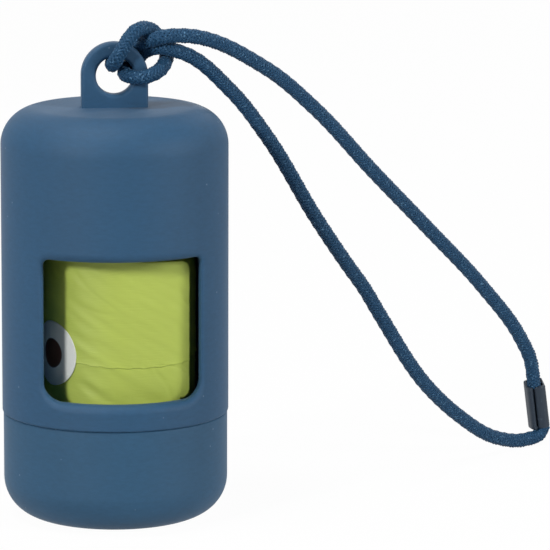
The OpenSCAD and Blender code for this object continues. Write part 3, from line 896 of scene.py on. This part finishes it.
def ferrule_surface():
    """The crimped sleeve: an outline of two lobes and a flat back, carried up the sleeve.

    The valley between the lobes lies left of the middle, as a slit that widens downwards. Both ends
    are rounded in, the back's end a millimetre higher than the lobes', and each end turns in to the bores.
    """
    foot, top = [0.5, 0.0, 0.0, 0.04, 0.15, 0.3], [8.05, 8.16, 8.2, 8.2, 7.7]
    up = np.concatenate([foot, np.linspace(0.6, 7.8, 26), top])
    inset = np.concatenate([[0.55, 0.5, 0.22, 0.1, 0.03, 0.0], np.zeros(26), [0.03, 0.1, 0.22, 0.5, 0.55]])
    r, half, mouth = LOBE_D / 2, LOBE_PITCH / 2, FERRULE_L - BACK_RISE
    lobe_y, back_y = -(FERRULE_T - LOBE_D) / 2, FERRULE_T / 2
    side_x, corner = half + r, 0.55
    left_r, right_r = (VALLEY_X + side_x) / 2, (side_x - VALLEY_X) / 2
    left = np.radians(np.linspace(180, 340, 18))
    right = np.radians(np.linspace(200, 360, 18))
    bend = np.radians(np.linspace(0, 90, 8))
    x = np.concatenate([VALLEY_X - left_r + left_r * np.cos(left), VALLEY_X + np.array([-0.12, 0, 0.12]),
                        VALLEY_X + right_r + right_r * np.cos(right),
                        side_x - corner + corner * np.cos(bend),
                        -side_x + corner - corner * np.sin(bend)])
    y = np.concatenate([lobe_y + r * np.sin(left), [-0.35, -0.3, -0.35], lobe_y + r * np.sin(right),
                        back_y - corner + corner * np.sin(bend),
                        back_y - corner + corner * np.cos(bend)])
    front = np.clip(-y / 0.3, 0, 1)
    slit = 0.07 + 0.13 * (1 - up / mouth)
    off = x - VALLEY_X
    near = (np.abs(off) < 0.3) & (y < 0)
    opened = VALLEY_X + np.sign(off)[None, :] * np.maximum(np.abs(off)[None, :], slit[:, None])
    wide = np.where(near[None, :], opened, x[None, :])
    toward = np.stack([-x, -y], axis=1)
    toward = toward / np.linalg.norm(toward + 1e-9, axis=1)[:, None]
    px = wide + inset[:, None] * toward[None, :, 0]
    py = y[None, :] + inset[:, None] * toward[None, :, 1]
    rise = np.clip((up - 6.0) / (mouth - 6.0), 0, 1)[:, None] * (1 - front)[None, :] * BACK_RISE
    grid = ferrule_point(px, py, up[:, None] + rise)
    return grid.reshape(-1, 3), grid_quads(len(up), len(x), close_cols=True)


# Operators


class CAPSULE_OT_camera(bpy.types.Operator):
    """Sets up the camera from which the capsule was photographed"""

    bl_idname = "capsule.camera"
    bl_label = "Camera"

    def execute(self, context):
        azimuth, elevation, roll = math.radians(-7.0), math.radians(10.6), math.radians(0.17)
        distance, lens = 0.8, 297.0
        back = Vector((math.sin(azimuth) * math.cos(elevation), -math.cos(azimuth) * math.cos(elevation),
                       math.sin(elevation)))
        right = Vector((math.cos(azimuth), math.sin(azimuth), 0))
        up = back.cross(right)
        target = right * 0.0282 + Vector((0, 0, 0.0429))
        across = right * math.cos(roll) + up * math.sin(roll)
        upward = up * math.cos(roll) - right * math.sin(roll)
        data = bpy.data.cameras.new("camera")
        data.lens = lens
        data.clip_start = 0.05
        cam = bpy.data.objects.new("camera", data)
        turn = Matrix((across, upward, back)).transposed().to_4x4()
        cam.matrix_world = Matrix.Translation(target + back * distance) @ turn
        context.scene.collection.objects.link(cam)
        context.scene.camera = cam
        return {"FINISHED"}


class CAPSULE_OT_cord(bpy.types.Operator):
    """Braids the wrist cord along its route and closes it with the crimped ferrule"""

    bl_idname = "capsule.cord"
    bl_label = "Wrist Cord"

    def execute(self, context):
        cord = context.scene.capsule_cord
        surface, path, length = braid_surface(cord.strands, cord.lay_length / MM)
        yarn = braided_yarn("braided_polyester", tuple(cord.yarn_colour))
        braid = piece("wrist_cord_braid", surface, "housing", yarn, ["wrist_cord"])
        sleeve = piece("ferrule_sleeve", ferrule_surface(), "housing",
                       lacquered_metal("lacquered_steel"), ["cord_ferrule"])
        return {"FINISHED"}


class CAPSULE_OT_housing(bpy.types.Operator):
    """Moulds the housing with its window and eyelet, and the base cap"""

    bl_idname = "capsule.housing"
    bl_label = "Housing and Base Cap"

    def execute(self, context):
        look = context.scene.capsule_body
        shell = joined([housing_surface(look.lip / MM), eyelet_surface()])
        plastic = moulded_plastic("moulded_polypropylene", tuple(look.shell_colour))
        piece("housing_shell", shell, "housing", plastic, ["housing"])
        piece("base_cup", turned(cap_profile(), 192), "base",
              moulded_plastic("moulded_polypropylene_cap", tuple(look.cap_colour)), ["base_cap"])
        return {"FINISHED"}


class CAPSULE_OT_roll(bpy.types.Operator):
    """Winds the roll of bags on its core and puts the label on it"""

    bl_idname = "capsule.roll"
    bl_label = "Bag Roll"

    def execute(self, context):
        look = context.scene.capsule_roll
        film = thin_film("blown_polyethylene", tuple(look.film_colour))
        piece("wound_film", wound_surface(), "roll", film, ["bag_roll"])
        piece("outer_film", outer_bag_surface(look.crease / MM), "roll", film, ["outer_bag"])
        paper = piece("paper_label", label_surface(), "roll",
                      label_paper("coated_paper", tuple(look.motif_colour)), ["roll_label"])
        points = np.empty(len(paper.data.vertices) * 3)
        paper.data.vertices.foreach_get("co", points)
        points = points.reshape(-1, 3) / MM
        turn = np.arctan2(points[:, 0], -points[:, 1]) - LABEL_TURN
        distance = np.hypot(turn * BAG_R, points[:, 2] - LABEL_Z)
        paper.data.attributes.new("from_middle", "FLOAT", "POINT").data.foreach_set("value", distance)
        low, high, bore = CORE_LOW[2], CORE_HIGH[2], CORE_R - CORE_T
        tube_wall = np.array([[CORE_R, low], [CORE_R, high], [bore, high], [bore, low], [CORE_R, low]])
        piece("board_core", turned(tube_wall, 96), "roll", core_board("spiral_board"),
              ["roll_core"])
        return {"FINISHED"}


class CAPSULE_OT_stage(bpy.types.Operator):
    """Puts the capsule on a pale floor before a white backdrop and lights it with four lamps"""

    bl_idname = "capsule.stage"
    bl_label = "Stage"

    def execute(self, context):
        light = context.scene.capsule_studio
        self.floor(context)
        self.world(context, light.tent)
        self.lamp(context, "key_lamp", -44, 20.5, 1.2, 0.18, light.key)
        self.lamp(context, "side_lamp", 57, 19, 1.2, 0.3, light.side)
        self.lamp(context, "high_lamp", -60, 72, 1.2, 0.4, light.high)
        self.lamp(context, "rim_lamp", 150, 30, 1.2, 0.3, light.rim)
        return {"FINISHED"}

    def lamp(self, context, name, azimuth, elevation, distance, size, power):
        """A round lamp that faces the capsule from an azimuth and elevation in degrees."""
        a, e = math.radians(azimuth), math.radians(elevation)
        way = Vector((math.sin(a) * math.cos(e), -math.cos(a) * math.cos(e), math.sin(e)))
        data = bpy.data.lights.new(name, "AREA")
        data.shape = "DISK"
        data.size = size
        data.energy = power
        lamp = bpy.data.objects.new(name, data)
        lamp.location = Vector((0, 0, 0.04)) + way * distance
        lamp.rotation_euler = way.to_track_quat("Z", "Y").to_euler()
        context.scene.collection.objects.link(lamp)

    def any_ray(self, tree, *kinds):
        """1 for a ray of any of the kinds named, and 0 for every other."""
        rays = add(tree, "ShaderNodeLightPath")
        share = rays.outputs[kinds[0]]
        for kind in kinds[1:]:
            either = add(tree, "ShaderNodeMath", {"operation": "MAXIMUM"})
            tree.links.new(either.inputs[0], share)
            tree.links.new(either.inputs[1], rays.outputs[kind])
            share = either.outputs["Value"]
        return share

    def floor(self, context):
        """A wide grey sheet under the capsule: white to the camera and to a gloss, with a faint shadow."""
        made, tree, out = new_material("sweep")
        cloth = add(tree, "ShaderNodeBsdfDiffuse", {"Color": (*srgb("#b4b4b4"), 1)})
        lit = add(tree, "ShaderNodeBsdfDiffuse", {"Color": (1, 1, 1, 1)})
        white = add(tree, "ShaderNodeEmission", {"Color": (1, 1, 1, 1), "Strength": 1.0})
        sweep = add(tree, "ShaderNodeMixShader", {"Fac": 0.97})
        tree.links.new(sweep.inputs[1], lit.outputs["BSDF"])
        tree.links.new(sweep.inputs[2], white.outputs["Emission"])
        seen = self.any_ray(tree, "Is Camera Ray", "Is Glossy Ray", "Is Transmission Ray")
        mix = add(tree, "ShaderNodeMixShader", Fac=seen)
        tree.links.new(mix.inputs[1], cloth.outputs["BSDF"])
        tree.links.new(mix.inputs[2], sweep.outputs["Shader"])
        tree.links.new(out.inputs["Surface"], mix.outputs["Shader"])
        mesh = bpy.data.meshes.new("floor")
        half = 3.0
        corners = [(-half, -half, 0), (half, -half, 0), (half, half, 0), (-half, half, 0)]
        mesh.from_pydata(corners, [], [(0, 1, 2, 3)])
        mesh.materials.append(made)
        sheet = bpy.data.objects.new("floor", mesh)
        context.scene.collection.objects.link(sheet)

    def world(self, context, strength):
        """A dark room with a white backdrop, which the camera sees all round and a gloss only behind."""
        made = bpy.data.worlds.new("dark_room")
        made.use_nodes = True
        tree = made.node_tree
        tree.nodes.clear()
        way = add(tree, "ShaderNodeTexCoord").outputs["Generated"]
        depth = add(tree, "ShaderNodeSeparateXYZ", Vector=way)
        behind = add(tree, "ShaderNodeMapRange",
                     {"interpolation_type": "SMOOTHSTEP", "From Min": -0.3, "From Max": 0.3,
                      "To Min": 0.04, "To Max": 1.0},
                     Value=depth.outputs["Y"])
        mirrored = self.any_ray(tree, "Is Glossy Ray", "Is Transmission Ray")
        shown = add(tree, "ShaderNodeMix", {"data_type": "FLOAT", "A": strength},
                    Factor=mirrored, B=behind.outputs["Result"])
        level = add(tree, "ShaderNodeMix", {"data_type": "FLOAT", "B": 1.0},
                    Factor=self.any_ray(tree, "Is Camera Ray"), A=shown.outputs["Result"])
        tent = add(tree, "ShaderNodeBackground", {"Color": (1, 1, 1, 1)}, Strength=level.outputs["Result"])
        out = add(tree, "ShaderNodeOutputWorld")
        tree.links.new(out.inputs["Surface"], tent.outputs["Background"])
        context.scene.world = made


class CAPSULE_PT_panel(bpy.types.Panel):
    """Sizes, colours and pieces of the capsule"""

    bl_idname = "CAPSULE_PT_panel"
    bl_label = "Bag Dispenser Capsule"
    bl_space_type = "VIEW_3D"
    bl_region_type = "UI"
    bl_category = "Capsule"

    def draw(self, context):
        for name in SETTINGS:
            group = getattr(context.scene, name)
            box = self.layout.box()
            for prop in group.__annotations__:
                box.prop(group, prop)
        for operator in OPERATORS:
            self.layout.operator(operator.bl_idname)


SETTINGS = {
    "capsule_body": CapsuleSettings,
    "capsule_roll": RollSettings,
    "capsule_cord": CordSettings,
    "capsule_studio": StudioSettings,
}
OPERATORS = (CAPSULE_OT_camera, CAPSULE_OT_cord, CAPSULE_OT_housing, CAPSULE_OT_roll, CAPSULE_OT_stage)


def register():
    for made in (*SETTINGS.values(), *OPERATORS, CAPSULE_PT_panel):
        bpy.utils.register_class(made)
    for name, made in SETTINGS.items():
        setattr(bpy.types.Scene, name, bpy.props.PointerProperty(type=made))


def unregister():
    for name in SETTINGS:
        delattr(bpy.types.Scene, name)
    for made in (CAPSULE_PT_panel, *reversed(OPERATORS), *reversed(SETTINGS.values())):
        bpy.utils.unregister_class(made)


def main():
    register()
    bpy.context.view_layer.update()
    bpy.context.scene.view_settings.view_transform = "Standard"
    bpy.ops.capsule.camera()
    bpy.ops.capsule.cord()
    bpy.ops.capsule.housing()
    bpy.ops.capsule.roll()
    bpy.ops.capsule.stage()


if __name__ == "__main__":
    main()
